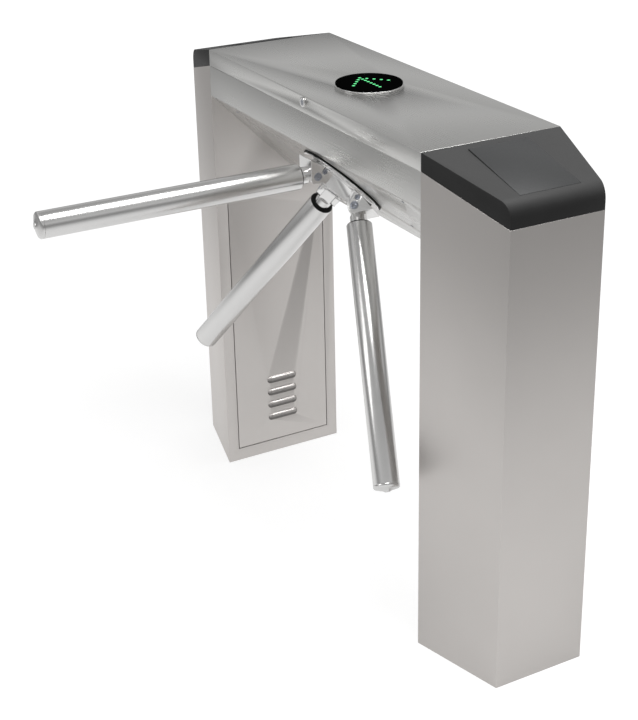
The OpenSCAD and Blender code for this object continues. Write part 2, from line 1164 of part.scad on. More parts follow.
module arm_tube(turn) {
    color(chrome_col)
        on_arm(turn)
            translate([0, 0, tube_start])
                difference() {
                    cylinder(r = arm_r, h = arm_reach - tip_l - tube_start);
                    bore(arm_r - arm_wall, arm_reach);
                }
}

module arm_1_tube() {
    arm_tube(arm_turns[0]);
}

module arm_2_tube() {
    arm_tube(arm_turns[1]);
}

module arm_3_tube() {
    arm_tube(arm_turns[2]);
}

module arm_shanks() {
    color(chrome_col)
        for (turn = arm_turns)
            on_arm(turn)
                difference() {
                    union() {
                        translate([-shank_high, -shank_w / 2, shank_in])
                            cube([shank_high + shank_low, shank_w, fork_end - shank_in]);
                        translate([0, 0, fork_end])
                            cylinder(r = neck_r, h = tube_start - fork_end);
                        translate([0, 0, tube_start])
                            cylinder(r = arm_r - arm_wall, h = plug_l);
                    }
                    across_arm(big_bolt)
                        cylinder(r = big_bolt_r, h = fork_w, center = true);
                    across_arm(small_bolt)
                        cylinder(r = small_bolt_r, h = fork_w, center = true);
                }
}

module arm_collars() {
    color(black_col)
        for (turn = arm_turns)
            on_arm(turn)
                translate([0, 0, fork_end + neck_l])
                    difference() {
                        cylinder(r1 = arm_r - collar_t, r2 = arm_r, h = collar_t);
                        bore(neck_r, collar_t);
                    }
}

module arm_end_caps() {
    plug_r_in = arm_r - arm_wall;
    color(chrome_col)
        for (turn = arm_turns)
            on_arm(turn)
                translate([0, 0, arm_reach - tip_l])
                    rotate_extrude()
                        polygon(concat(
                            [[0, -tip_plug_l], [plug_r_in, -tip_plug_l], [plug_r_in, 0]],
                            [for (share = tip_shares) [arm_r * share[0], tip_l * share[1]]]
                        ));
}

module arm_bolt(r, head_r, head_h, sink) {
    reach = fork_w / 2 - sink;
    cylinder(r = r, h = 2 * reach, center = true);
    for (side = [0, 1])
        mirror([0, 0, side])
            translate([0, 0, reach])
                difference() {
                    cylinder(r = head_r, h = head_h);
                    translate([0, 0, head_h * (1 - socket_share)])
                        cylinder(r = head_r * socket_share, h = head_h, $fn = 6);
                }
}

module arm_bolts() {
    color(zinc_col)
        for (turn = arm_turns)
            on_arm(turn) {
                across_arm(big_bolt)
                    arm_bolt(big_bolt_r, big_head_r, big_head_h, big_sink);
                across_arm(small_bolt)
                    arm_bolt(small_bolt_r, small_head_r, small_head_h, small_sink);
            }
}

module plate(top) {
    on_face(-top - plate_t)
        translate([-plate_w / 2, -plate_l / 2, 0])
            cube([plate_w, plate_l, plate_t]);
}

module front_plate() {
    bearing_low = bearing_top + bearing_w;
    color(zinc_col)
        difference() {
            union() {
                plate(front_top);
                on_face(-bearing_low)
                    cylinder(r = bearing_r + boss_wall, h = bearing_low - front_top);
            }
            on_face(-bearing_low - eps)
                cylinder(r = bearing_r, h = bearing_w + eps);
            on_face(-front_low)
                bore(lip_bore_r, plate_t);
            on_face(-front_low)
                pillar_places() {
                    bore(screw_r, plate_t);
                    translate([0, 0, plate_t - screw_head_h])
                        bore(screw_head_r, screw_head_h);
                }
            on_face(-front_top - mount_screw_in)
                mount_screw_places()
                    bore(sheet_screw_r, mount_screw_in);
        }
}

module rear_plate() {
    color(zinc_col)
        difference() {
            union() {
                plate(rear_top);
                on_face(-rear_low)
                    cylinder(r = bearing_r + boss_wall, h = rear_low - rear_bearing_top);
            }
            on_face(-rear_bearing_top - bearing_w)
                cylinder(r = bearing_r, h = bearing_w + eps);
            on_face(-rear_low) {
                bore(lip_bore_r, plate_t);
                pillar_places()
                    bore(screw_r, plate_t);
                translate([0, gear_gap, 0])
                    bore(motor_neck_r, plate_t);
            }
        }
}

module frame_pillars() {
    color(zinc_col)
        on_face(-rear_top)
            pillar_places()
                difference() {
                    cylinder(r = pillar_r, h = plate_gap);
                    for (low = [-eps, plate_gap - screw_in])
                        translate([0, 0, low])
                            cylinder(r = screw_r, h = screw_in + eps);
                }
}

// A screw whose head lies on z = 0 and whose thread runs down by a length
module screw(length) {
    cylinder(r = screw_head_r, h = screw_head_h);
    translate([0, 0, -length])
        cylinder(r = screw_r, h = length);
}

module frame_screws() {
    color(zinc_col) {
        on_face(-front_top - screw_head_h)
            pillar_places()
                screw(plate_t - screw_head_h + screw_in - eps);
        on_face(-front_top - mount_screw_in)
            mount_screw_places() {
                cylinder(r = sheet_screw_r, h = mount_screw_in + sheet_t);
                translate([0, 0, mount_screw_in])
                    countersink(0);
            }
        on_face(-rear_low)
            mirror([0, 0, 1])
                pillar_places()
                    screw(plate_t + screw_in - 2 * eps);
        on_face(0)
            edge_screw_places() {
                cylinder(r = sheet_screw_head_r, h = sheet_screw_head_h);
                translate([0, 0, -sheet_t - clinch_h])
                    cylinder(r = sheet_screw_r, h = sheet_t + clinch_h);
                translate([0, 0, -sheet_t - clinch_h])
                    cylinder(r = clinch_r, h = clinch_h);
            }
    }
}

module bearing_places() {
    for (top = [bearing_top, rear_bearing_top])
        on_face(-top - bearing_w)
            children();
}

module race(r_in, r_out, groove_gap) {
    rotate_extrude()
        difference() {
            translate([r_in, 0])
                square([r_out - r_in, bearing_w]);
            translate([ball_ring_r, bearing_w / 2])
                circle(r = ball_r + groove_gap);
        }
}

module bearing_outer_races() {
    color(zinc_col)
        bearing_places()
            race(outer_race_r, bearing_r, 0);
}

module bearing_inner_races() {
    color(zinc_col)
        bearing_places()
            race(shaft_r, inner_race_r, run_gap);
}

module bearing_balls() {
    color(chrome_col)
        bearing_places()
            all_round(balls)
                translate([ball_ring_r, 0, bearing_w / 2])
                    sphere(r = ball_r);
}

module main_shaft() {
    end = disc_top + disc_t + disc_hub_t;
    front_shoulder = bearing_top + bearing_w;
    wheel_low = wheel_top + wheel_hub_t;
    color(zinc_col)
        difference() {
            union() {
                on_face(-end)
                    cylinder(r = shaft_r, h = end + shaft_in_hub);
                on_face(-wheel_top)
                    cylinder(r = shoulder_r, h = wheel_top - front_shoulder);
                on_face(-rear_bearing_top)
                    cylinder(r = shoulder_r, h = rear_bearing_top - wheel_low);
            }
            on_face(hub_h - hub_sink - hub_bolt_l)
                cylinder(r = hub_bolt_r, h = hub_bolt_l);
        }
}

module lock_wheel() {
    color(zinc_col)
        difference() {
            union() {
                on_face(-wheel_top - wheel_t)
                    cylinder(r = wheel_r, h = wheel_t);
                on_face(-wheel_top - wheel_hub_t)
                    cylinder(r = wheel_hub_r, h = wheel_hub_t);
            }
            on_face(-wheel_top - wheel_hub_t)
                bore(shaft_r, wheel_hub_t);
            on_face(-wheel_top - wheel_t - eps)
                all_round(notches)
                    translate([wheel_r - notch_deep, -notch_w / 2, 0])
                        cube([2 * notch_deep, notch_w, wheel_t + 2 * eps]);
        }
}

// Involute gear outline: the half angle of a tooth at a radius, and the points round the gear
function involute(angle) = tan(angle) * 180 / PI - angle;
function half_tooth(r, base_r, teeth) =
    (90 - backlash * 90 / (gear_m * PI)) / teeth
    + involute(pressure) - involute(acos(min(1, base_r / r)));
function polar(r, turn) = [r * cos(turn), r * sin(turn)];
function flank(teeth) =
    let (
        pitch_r = gear_m * teeth / 2,
        base_r = pitch_r * cos(pressure),
        root_r = pitch_r - root_share * gear_m,
        low_r = max(root_r, base_r),
        step = (pitch_r + gear_m - low_r) / flank_steps
    )
    concat(
        [[root_r, half_tooth(low_r, base_r, teeth)]],
        [for (k = [0 : flank_steps])
            let (r = low_r + k * step)
            [r, half_tooth(r, base_r, teeth)]]
    );
function gear_points(teeth) =
    let (side = flank(teeth))
    [for (tooth = [0 : teeth - 1])
        let (mid = tooth * 360 / teeth)
        each concat(
            [for (k = [0 : len(side) - 1]) polar(side[k][0], mid - side[k][1])],
            [for (k = [len(side) - 1 : -1 : 0]) polar(side[k][0], mid + side[k][1])]
        )
    ];

module main_gear() {
    web_r = (gear_hub_r + gear_m * gear_teeth / 2 - root_share * gear_m) / 2;
    hub_l = gear_hub_t + gear_t + gear_space - gear_hub_gap;
    color(zinc_col)
        on_face(-gear_low - gear_hub_t)
            difference() {
                union() {
                    translate([0, 0, gear_hub_t])
                        linear_extrude(height = gear_t)
                            polygon(gear_points(gear_teeth));
                    cylinder(r = gear_hub_r, h = hub_l);
                }
                bore(shaft_r, hub_l);
                all_round(gear_holes)
                    translate([web_r, 0, 0])
                        bore(2 * gear_m, hub_l);
            }
}

// The pinion and the motor's shaft are one piece
module motor_pinion() {
    color(zinc_col)
        on_face(-gear_low - pinion_over)
            translate([0, gear_gap, 0]) {
                rotate([0, 0, 180 / pinion_teeth])
                    linear_extrude(height = pinion_t)
                        polygon(gear_points(pinion_teeth));
                cylinder(r = pinion_shaft_r, h = gear_low + pinion_over - rear_top + pinion_shaft_in);
            }
}

module drive_motor() {
    color(black_col)
        on_face(-rear_low)
            translate([0, gear_gap, 0])
                difference() {
                    union() {
                        cylinder(r = motor_neck_r, h = plate_t + motor_l);
                        translate([0, 0, plate_t])
                            cylinder(r = motor_flange_r, h = motor_flange_t);
                        translate([0, 0, plate_t])
                            cylinder(r = motor_r, h = motor_l - motor_end_t);
                        translate([0, 0, plate_t])
                            cylinder(r = motor_end_r, h = motor_l);
                    }
                    translate([0, 0, -eps])
                        cylinder(r = pinion_shaft_r + run_gap, h = plate_t + pinion_shaft_in + 2 * eps);
                }
}

module shaft_nut() {
    color(zinc_col)
        on_face(-nut_top - nut_t)
            difference() {
                cylinder(r = nut_r, h = nut_t, $fn = 6);
                bore(shaft_r, nut_t);
            }
}

module encoder_disc() {
    color(black_col)
        on_face(-disc_top - disc_t)
            difference() {
                union() {
                    cylinder(r = disc_r, h = disc_t);
                    translate([0, 0, -disc_hub_t])
                        cylinder(r = disc_hub_r, h = disc_hub_t);
                }
                translate([0, 0, -disc_hub_t])
                    bore(shaft_r, disc_hub_t + disc_t);
                translate([0, 0, -eps])
                    all_round(notches)
                        translate([disc_r - disc_slot_l, -disc_slot_w / 2, 0])
                            cube([disc_slot_l + eps, disc_slot_w, disc_t + 2 * eps]);
            }
}

// The sensor straddles the encoder disc's edge; its board stands on the rear plate
module sensor_board() {
    post_l = disc_top + disc_t + disc_gap - rear_low;
    jaw_t = disc_gap - disc_play;
    jaw_low = post_l - disc_t - 2 * disc_gap;
    near_x = disc_r - disc_slot_l;
    far_x = plate_w / 2 - sensor_post_r;
    color(board_col)
        on_face(-rear_low)
            rotate([180, 0, 180]) {
                for (side = [-1, 1])
                    translate([far_x - sensor_post_r, side * (sensor_w / 2 - sensor_post_r), 0])
                        cylinder(r = sensor_post_r, h = post_l);
                translate([near_x, -sensor_w / 2, post_l])
                    cube([far_x - near_x, sensor_w, board_t]);
                translate([disc_r + sensor_side, -sensor_w / 4, jaw_low])
                    cube([sensor_post_r, sensor_w / 2, post_l - jaw_low]);
                for (z = [jaw_low, post_l - jaw_t])
                    translate([near_x, -sensor_w / 4, z])
                        cube([disc_slot_l + sensor_side + sensor_post_r, sensor_w / 2, jaw_t]);
            }
}

// A pawl's own frame: the origin is its pin, X runs to its nose and Y away from the lock wheel,
// whose middle lies at [pawl_l, -pawl_drop]. The second pawl mirrors the first.
module on_pawl(side) {
    on_face(-pawl_mid)
        mirror([side, 0, 0])
            rotate([0, 0, -90 - pawl_place])
                translate([-pawl_l, pawl_drop, 0])
                    children();
}

// The tail leans back by half the pawl's turn, so that its slot swings evenly about the pin
module on_tail() {
    rotate([0, 0, pawl_turn / 2])
        children();
}
tail_pin = [-tail_l * sin(pawl_turn / 2), tail_l * cos(pawl_turn / 2), 0];

module lock_pawl(side) {
    nose_low = wheel_r + pawl_clear - pawl_drop;
    color(zinc_col)
        on_pawl(side)
            translate([0, 0, -pawl_t / 2])
                difference() {
                    union() {
                        cylinder(r = pawl_eye_r, h = pawl_t);
                        translate([0, pawl_arm_low, 0])
                            cube([pawl_l + pawl_nose_w / 2, pawl_arm_high - pawl_arm_low, pawl_t]);
                        translate([pawl_l - pawl_nose_w / 2, nose_low, 0])
                            cube([pawl_nose_w, pawl_arm_high - nose_low, pawl_t]);
                        on_tail()
                            translate([-tail_w / 2, 0, 0])
                                cube([tail_w, tail_l + tail_end, pawl_t]);
                    }
                    bore(pawl_pin_r + run_gap, pawl_t);
                    on_tail()
                        translate([0, tail_l, 0]) {
                            for (end = [-1, 1])
                                translate([0, end * tail_slot_l / 2, 0])
                                    bore(tail_slot_r, pawl_t);
                            translate([-tail_slot_r, -tail_slot_l / 2, -eps])
                                cube([2 * tail_slot_r, tail_slot_l, pawl_t + 2 * eps]);
                        }
                }
}

module lock_pawl_a() {
    lock_pawl(0);
}

module lock_pawl_b() {
    lock_pawl(1);
}

module pawl_pins() {
    step_z = pawl_t / 2 + slip_gap;
    color(zinc_col)
        for (side = [0, 1])
            on_pawl(side) {
                translate([0, 0, pawl_mid - rear_top])
                    cylinder(r = pawl_pin_r, h = plate_gap);
                translate([0, 0, pawl_mid - rear_top])
                    cylinder(r = pawl_step_r, h = rear_top - pawl_mid - step_z);
                translate([0, 0, step_z])
                    cylinder(r = pawl_step_r, h = clip_t);
            }
}

module plunger(side) {
    cheek_z = pawl_t / 2 + slip_gap;
    outer_z = cheek_z + cheek_t;
    color(zinc_col)
        on_pawl(side)
            translate(tail_pin) {
                translate([fork_half, 0, 0])
                    rotate([0, 90, 0])
                        cylinder(r = plunger_r, h = plunger_l);
                translate([fork_half, -plunger_r, -outer_z])
                    cube([cheek_t, 2 * plunger_r, 2 * outer_z]);
                for (z = [-outer_z, cheek_z])
                    translate([-fork_half, -plunger_r, z])
                        cube([2 * fork_half, 2 * plunger_r, cheek_t]);
                cylinder(r = plunger_pin_r, h = 2 * outer_z, center = true);
            }
}

module plunger_a() {
    plunger(0);
}

module plunger_b() {
    plunger(1);
}

module solenoids() {
    color(black_col)
        for (side = [0, 1])
            on_pawl(side)
                translate([solenoid_x, tail_pin[1], 0])
                    difference() {
                        translate([0, -solenoid_w / 2, pawl_mid - rear_top])
                            cube([solenoid_l, solenoid_w, rear_top - pawl_mid + solenoid_w / 2]);
                        translate([-eps, 0, 0])
                            rotate([0, 90, 0])
                                cylinder(r = plunger_r + run_gap, h = solenoid_l - solenoid_wall + eps);
                    }
}

module control_board() {
    board_x = half_w - sheet_t - standoff_l - board_t;
    color(board_col)
        translate([board_x, control_y - control_l / 2, beam_z + control_up - control_h / 2]) {
            cube([board_t, control_l, control_h]);
            for (y = [standoff_r, control_l - standoff_r], z = [standoff_r, control_h - standoff_r])
                translate([board_t, y, z])
                    rotate([0, 90, 0])
                        cylinder(r = standoff_r, h = standoff_l);
            for (b = block_shares)
                translate([-b[4] * control_h, b[0] * control_l, b[1] * control_h])
                    cube([b[4] * control_h, b[2] * control_l, b[3] * control_h]);
        }
}

module power_supply() {
    vent_low = (supply_l - (vents - 1) * vent_pitch - vent_h) / 2;
    color(zinc_col)
        translate([-supply_w / 2, yo - sheet_t - supply_d, supply_z])
            difference() {
                cube([supply_w, supply_d, supply_l]);
                for (k = [0 : vents - 1])
                    translate([-eps, vent_edge, vent_low + k * vent_pitch])
                        cube([vent_deep + eps, supply_d - 2 * vent_edge, vent_h]);
            }
}

near_pedestal();
far_pedestal();
near_base_plate();
far_base_plate();
beam();
near_end_cap();
far_end_cap();
near_reader_window();
far_reader_window();
card_readers();
hub_seal();
front_plate();
rear_plate();
frame_pillars();
frame_screws();
bearing_outer_races();
bearing_balls();
pawl_pins();
solenoids();
drive_motor();
sensor_board();
control_board();
power_supply();
lid_striker();
lid_hinge_leaves();
lid_hinge_pins();
door_hinge_pins();
lid();
lid_hinge_straps();
indicator_housing();
indicator_leds();
indicator_board();
lid_lock_barrel();
lid_lock_plug();
near_door();
far_door();
near_door_barrel();
far_door_barrel();
near_door_plug();
far_door_plug();
hub();
hub_bolt();
main_shaft();
shaft_nut();
bearing_inner_races();
lock_wheel();
main_gear();
encoder_disc();
arm_1_tube();
arm_2_tube();
arm_3_tube();
arm_shanks();
arm_collars();
arm_end_caps();
arm_bolts();
motor_pinion();
lock_pawl_a();
lock_pawl_b();
plunger_a();
plunger_b();
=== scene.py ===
"""Looks of a bridge tripod turnstile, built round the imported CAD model. Metres, Z up."""

import json
import math

import bmesh
import bpy
from mathutils import Matrix, Vector

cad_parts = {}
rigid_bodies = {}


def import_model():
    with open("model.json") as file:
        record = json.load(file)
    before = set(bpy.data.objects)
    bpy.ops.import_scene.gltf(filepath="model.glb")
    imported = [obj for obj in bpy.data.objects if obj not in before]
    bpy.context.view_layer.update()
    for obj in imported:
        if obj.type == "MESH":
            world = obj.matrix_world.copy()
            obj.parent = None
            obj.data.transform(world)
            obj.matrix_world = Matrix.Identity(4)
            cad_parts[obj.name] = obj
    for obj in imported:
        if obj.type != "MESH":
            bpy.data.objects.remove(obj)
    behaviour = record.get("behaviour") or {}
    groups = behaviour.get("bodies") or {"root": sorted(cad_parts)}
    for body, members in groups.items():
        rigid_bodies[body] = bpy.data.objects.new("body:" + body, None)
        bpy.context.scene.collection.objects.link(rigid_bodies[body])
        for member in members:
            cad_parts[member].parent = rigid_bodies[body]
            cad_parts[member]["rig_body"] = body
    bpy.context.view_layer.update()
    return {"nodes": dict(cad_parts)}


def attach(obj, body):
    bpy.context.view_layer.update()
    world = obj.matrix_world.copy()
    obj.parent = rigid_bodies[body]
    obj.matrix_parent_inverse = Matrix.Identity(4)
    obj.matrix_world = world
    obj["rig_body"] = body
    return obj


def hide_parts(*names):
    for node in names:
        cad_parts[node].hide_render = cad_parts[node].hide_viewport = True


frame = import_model()

# Node helpers

# Values between which a noise mostly lies, and the lower one where only its crests count
NOISE_LOW = 0.3
NOISE_HIGH = 0.7
CREST_LOW = 0.35
NOISE_ROUGH = 0.55
# Places of a Mix node's colour sockets
MIX_FIRST = 6
MIX_SECOND = 7
MIX_RESULT = 2
# Rays of a rounded edge, and the cosine between its normal and the flat one at a full edge
EDGE_SAMPLES = 6
EDGE_COSINE = 0.92


class Graph:
    """A material's or a world's node tree, built with short calls."""

    def __init__(self, tree):
        self.tree = tree
        tree.nodes.clear()

    def add(self, kind, inputs=None, **values):
        node = self.tree.nodes.new(kind)
        for key, value in values.items():
            setattr(node, key, value)
        for key, value in (inputs or {}).items():
            self.put(node.inputs[key], value)
        return node

    def put(self, socket, value):
        if isinstance(value, bpy.types.NodeSocket):
            self.tree.links.new(value, socket)
        else:
            socket.default_value = value

    def math(self, operation, *values, clamp=False):
        node = self.add("ShaderNodeMath", operation=operation, use_clamp=clamp)
        for socket, value in zip(node.inputs, values):
            self.put(socket, value)
        return node.outputs[0]

    def vector(self, operation, first, second):
        node = self.add("ShaderNodeVectorMath", operation=operation)
        self.put(node.inputs[0], first)
        self.put(node.inputs[1], second)
        return node.outputs

    def coords(self, scale=(1.0, 1.0, 1.0)):
        place = self.add("ShaderNodeTexCoord").outputs["Object"]
        return self.add("ShaderNodeMapping", {"Vector": place, "Scale": scale}).outputs[0]

    def normal(self):
        return self.add("ShaderNodeNewGeometry").outputs["Normal"]

    def facing_up(self):
        """1 on a face that looks up, 0 on an upright one and -1 on one that looks down."""
        return self.add("ShaderNodeSeparateXYZ", {"Vector": self.normal()}).outputs["Z"]

    def noise(self, scale, detail, stretch=(1.0, 1.0, 1.0)):
        vector = self.coords(stretch)
        node = self.add(
            "ShaderNodeTexNoise",
            {"Scale": scale, "Vector": vector, "Detail": detail, "Roughness": NOISE_ROUGH},
        )
        return node.outputs["Fac"]

    def span(self, value, low, high, out_low, out_high):
        node = self.add(
            "ShaderNodeMapRange",
            {
                "Value": value,
                "From Min": low,
                "From Max": high,
                "To Min": out_low,
                "To Max": out_high,
            },
        )
        return node.outputs[0]

    def vary(self, noise, out_low, out_high):
        return self.span(noise, NOISE_LOW, NOISE_HIGH, out_low, out_high)

    def crests(self, noise, out_low, out_high):
        return self.span(noise, CREST_LOW, NOISE_HIGH, out_low, out_high)

    def mix(self, factor, first, second):
        node = self.add("ShaderNodeMix", data_type="RGBA")
        self.put(node.inputs[0], factor)
        self.put(node.inputs[MIX_FIRST], first)
        self.put(node.inputs[MIX_SECOND], second)
        return node.outputs[MIX_RESULT]

    def bump(self, height, strength, distance, normal):
        node = self.add(
            "ShaderNodeBump",
            {"Strength": strength, "Distance": distance, "Height": height, "Normal": normal},
        )
        return node.outputs[0]

    def soft_edge(self, radius):
        """A normal rounded at the edges, and a mask that is 1 along them."""
        bevel = self.add("ShaderNodeBevel", {"Radius": radius}, samples=EDGE_SAMPLES).outputs[0]
        cosine = self.vector("DOT_PRODUCT", bevel, self.normal())["Value"]
        return bevel, self.span(cosine, 1.0, EDGE_COSINE, 0.0, 1.0)


def new_material(name):
    material = bpy.data.materials.new(name)
    material.use_nodes = True
    return material, Graph(material.node_tree)


def finished(material, graph, inputs):
    """Ends a material in one principled shader with these inputs."""
    shader = graph.add("ShaderNodeBsdfPrincipled", inputs)
    graph.add("ShaderNodeOutputMaterial", {"Surface": shader.outputs[0]})
    return material


def grey(level, tint=(1.0, 1.0, 1.0)):
    return tuple(level * t for t in tint) + (1.0,)


def shade(base, factor):
    return tuple(c * factor for c in base[:3]) + (1.0,)


# Materials

# Steel of the pedestals, and of the beam and the lid
UPRIGHT = (0.64, 0.614, 0.594, 1.0)
LONG = (0.64, 0.637, 0.622, 1.0)
CHROME = (0.78, 0.775, 0.768, 1.0)
ZINC = (0.5, 0.52, 0.56, 1.0)
GROUND = (0.52, 0.52, 0.53, 1.0)
BLUED = (0.4, 0.42, 0.47, 1.0)
COOL = (0.97, 1.0, 1.02)

BOARD_GREEN = (0.012, 0.11, 0.045, 1.0)
BOARD_PATCH = (0.016, 0.13, 0.05, 1.0)
BOARD_TRACK = (0.03, 0.2, 0.08, 1.0)
BOARD_EDGE = (0.35, 0.3, 0.16, 1.0)

LED_BODY = (0.03, 0.3, 0.08, 1.0)
LED_DEEP = (0.05, 0.75, 0.22, 1.0)
LED_PALE = (0.12, 0.95, 0.35, 1.0)
LED_GLOW = 0.9

# Noise per metre along and across the grain of brushed sheet
GRAIN_ALONG = 4.0
GRAIN_ACROSS = 700.0
# How much coarser smears are than the mottle, and how much rougher they are than clean metal
SMEAR_SIZE = 6
SMEAR_STRETCH = (1.0, 1.0, 2.2)
SMEARED = 1.35
# How much lighter worn plastic is
WORN = 1.35
# Heights of a normal between which tops of plastic turn paler, partly dust and partly painted top
# light, and between which a hood turns from painted shade to a painted highlight
TOP_PALE_FROM = 0.35
TOP_PALE_TO = 0.9
PAINTED_SHADE_TO = 0.05
PAINTED_SHINE_FROM = 0.8


def sheet_steel(name, grain, base, rough):
    """Satin stainless sheet, with its grain along one axis."""
    material, g = new_material(name)
    bevel, edge = g.soft_edge(radius=0.0012)
    stretch = tuple(GRAIN_ALONG if axis == grain else GRAIN_ACROSS for axis in "xyz")
    lines = g.noise(scale=1.0, detail=3.0, stretch=stretch)
    clouds = g.noise(scale=2.6, detail=3.0)
    handled = g.noise(scale=9.0, detail=5.0)
    dull, rubbed = shade(base, 0.97), shade(base, 1.12)
    tone = g.math("ADD", g.vary(lines, 0.0, 0.4), g.vary(clouds, 0.0, 0.6))
    half_edge = g.math("MULTIPLY", edge, 0.5)
    colour = g.mix(half_edge, g.mix(tone, dull, base), rubbed)
    roughness = g.math(
        "ADD", g.vary(lines, rough - 0.015, rough + 0.015), g.crests(handled, -0.01, 0.02)
    )
    bump = g.bump(lines, strength=0.02, distance=0.0002, normal=bevel)
    along = tuple(1.0 if axis == grain else 0.0 for axis in "xyz")
    across = g.vector("CROSS_PRODUCT", g.normal(), along)
    return finished(
        material,
        g,
        {
            "Base Color": colour,
            "Metallic": 1.0,
            "Roughness": roughness,
            "Anisotropic": 0.6,
            "Tangent": across["Vector"],
            "Normal": bump,
        },
    )


def metal(name, base, rough, dirt, scale, edge_r=0.0006, edge_wear_and_highlight=0.15):
    """Plain metal with a faint mottle, smears in its gloss and paler edges, partly rubbed wear and
    partly a painted highlight.
    """
    material, g = new_material(name)
    bevel, edge = g.soft_edge(edge_r)
    mottle = g.noise(scale, detail=5.0)
    smears = g.noise(scale / SMEAR_SIZE, detail=3.0, stretch=SMEAR_STRETCH)
    dull = shade(base, 1 - 2 * dirt)
    pale = g.math("MULTIPLY_ADD", edge, edge_wear_and_highlight, g.vary(mottle, 0.0, 0.6), clamp=True)
    colour = g.mix(pale, dull, base)
    roughness = g.math(
        "ADD", g.crests(smears, rough, rough * SMEARED), g.vary(mottle, -0.01, 0.02)
    )
    bump = g.bump(mottle, strength=0.03, distance=0.0002, normal=bevel)
    return finished(
        material,
        g,
        {"Base Color": colour, "Metallic": 1.0, "Roughness": roughness, "Normal": bump},
    )


def plastic(
    name, base, rough, grain=900.0, strength=0.12, specular=0.5, edge_r=0.0015, top_dust_and_light=1.0
):
    """Moulded plastic with a fine spark texture and worn edges, paler on top, partly with dust and
    partly as painted top light.
    """
    material, g = new_material(name)
    bevel, edge = g.soft_edge(edge_r)
    spark = g.noise(grain, detail=2.0)
    patches = g.noise(scale=7.0, detail=4.0)
    lift = g.math("MULTIPLY_ADD", edge, 0.35, g.vary(patches, 0.0, 0.25), clamp=True)
    dust_and_top_light, worn = shade(base, top_dust_and_light), shade(base, WORN * top_dust_and_light)
    # Faces that look up are painted paler: partly dust, partly painted light from above
    top = g.span(g.facing_up(), TOP_PALE_FROM, TOP_PALE_TO, 0.0, 1.0)
    colour = g.mix(lift, g.mix(top, base, dust_and_top_light), worn)
    roughness = g.math(
        "ADD", g.vary(spark, rough - 0.04, rough + 0.04), g.vary(patches, -0.02, 0.03)
    )
    bump = g.bump(spark, strength, distance=0.0001, normal=bevel)
    return finished(
        material,
        g,
        {
            "Base Color": colour,
            "Roughness": roughness,
            "Specular IOR Level": specular,
            "Normal": bump,
        },
    )


def board(name):
    """Lacquered circuit board with raised tracks, its edges bare. What stands on it is green too."""
    material, g = new_material(name)
    tracks = g.add(
        "ShaderNodeTexBrick",
        {
            "Vector": g.coords(),
            "Scale": 60.0,
            "Mortar Size": 0.03,
            "Color1": BOARD_GREEN,
            "Color2": BOARD_PATCH,
            "Mortar": BOARD_TRACK,
        },
    )
    grain = g.noise(scale=300.0, detail=3.0)
    bevel, edge = g.soft_edge(radius=0.0005)
    colour = g.mix(edge, tracks.outputs["Color"], BOARD_EDGE)
    bump = g.bump(tracks.outputs["Fac"], strength=0.2, distance=0.0002, normal=bevel)
    roughness = g.vary(grain, 0.25, 0.4)
    return finished(material, g, {"Base Color": colour, "Roughness": roughness, "Normal": bump})


def hood_steel(name, base):
    """Pressed hood of a louvre, coloured by which way its faces look: a painted highlight on its
    back and painted shade where it turns under.
    """
    material, g = new_material(name)
    up = g.facing_up()
    hood_jitter = g.noise(scale=160.0, detail=4.0)
    # Faces that look down get painted shade and faces that look up get a painted highlight. A noise
    # breaks up the line between them
    turn = g.math("MULTIPLY_ADD", hood_jitter, 0.2, up)
    hood_painted_shade, hood_painted_highlight = shade(base, 0.24), shade(base, 1.3)
    colour = g.mix(g.span(turn, PAINTED_SHADE_TO, PAINTED_SHINE_FROM, 0.0, 1.0), hood_painted_shade, hood_painted_highlight)
    roughness = g.vary(hood_jitter, 0.26, 0.36)
    return finished(
        material, g, {"Base Color": colour, "Metallic": 1.0, "Roughness": roughness}
    )


def lit_led(name):
    """A green light under a glossy dome, its glow a little uneven."""
    material, g = new_material(name)
    grain = g.noise(scale=500.0, detail=2.0)
    glow = g.mix(g.vary(grain, 0.0, 1.0), LED_DEEP, LED_PALE)
    return finished(
        material,
        g,
        {
            "Base Color": LED_BODY,
            "Roughness": g.vary(grain, 0.2, 0.3),
            "Emission Color": glow,
            "Emission Strength": LED_GLOW,
        },
    )


finishes = {
    "upright_steel": sheet_steel("upright_steel", grain="z", base=UPRIGHT, rough=0.46),
    "long_steel": sheet_steel("long_steel", grain="y", base=LONG, rough=0.28),
    "chrome": metal("chrome", CHROME, rough=0.16, dirt=0.02, scale=30.0),
    # The arms' chrome is a darker copy of chrome and the hub's a paler one: painted shade that tones
    # down the arms' highlights, and a painted highlight on the hub
    "tube_chrome": metal("tube_chrome", shade(CHROME, 0.92), rough=0.19, dirt=0.02, scale=30.0),
    "hood": hood_steel("hood", UPRIGHT),
    "hub_chrome": metal(
        "hub_chrome",
        shade(CHROME, 1.08),
        rough=0.2,
        dirt=0.02,
        scale=30.0,
        edge_r=0.0018,
        # The hub's edges are painted much paler, a painted highlight along its rims
        edge_wear_and_highlight=0.9,
    ),
    # The bolts' edges are painted paler too, a painted highlight along their rims
    "bolt": metal(
        "bolt", BLUED, rough=0.22, dirt=0.05, scale=60.0, edge_r=0.0012, edge_wear_and_highlight=0.8
    ),
    "zinc": metal("zinc", ZINC, rough=0.32, dirt=0.12, scale=90.0),
    "ground": metal("ground", GROUND, rough=0.24, dirt=0.06, scale=200.0),
    # The caps' tops are painted 2.4 times paler: partly dust, partly painted light from above
    "shell": plastic("shell", grey(0.02), rough=0.52, strength=0.1, specular=0.18, top_dust_and_light=2.4),
    "window": plastic(
        "window", grey(0.035, COOL), rough=0.44, grain=400.0, strength=0.03, specular=0.32
    ),
    "casing": plastic("casing", grey(0.02), rough=0.45),
    "indicator": plastic(
        "indicator", grey(0.0012), rough=0.2, grain=300.0, strength=0.02, specular=0.0
    ),
    "rubber": plastic(
        "rubber",
        grey(0.006),
        rough=0.55,
        grain=600.0,
        strength=0.1,
        specular=0.2,
        edge_r=0.0006,
    ),
    "board": board("board"),
    "led": lit_led("led"),
}

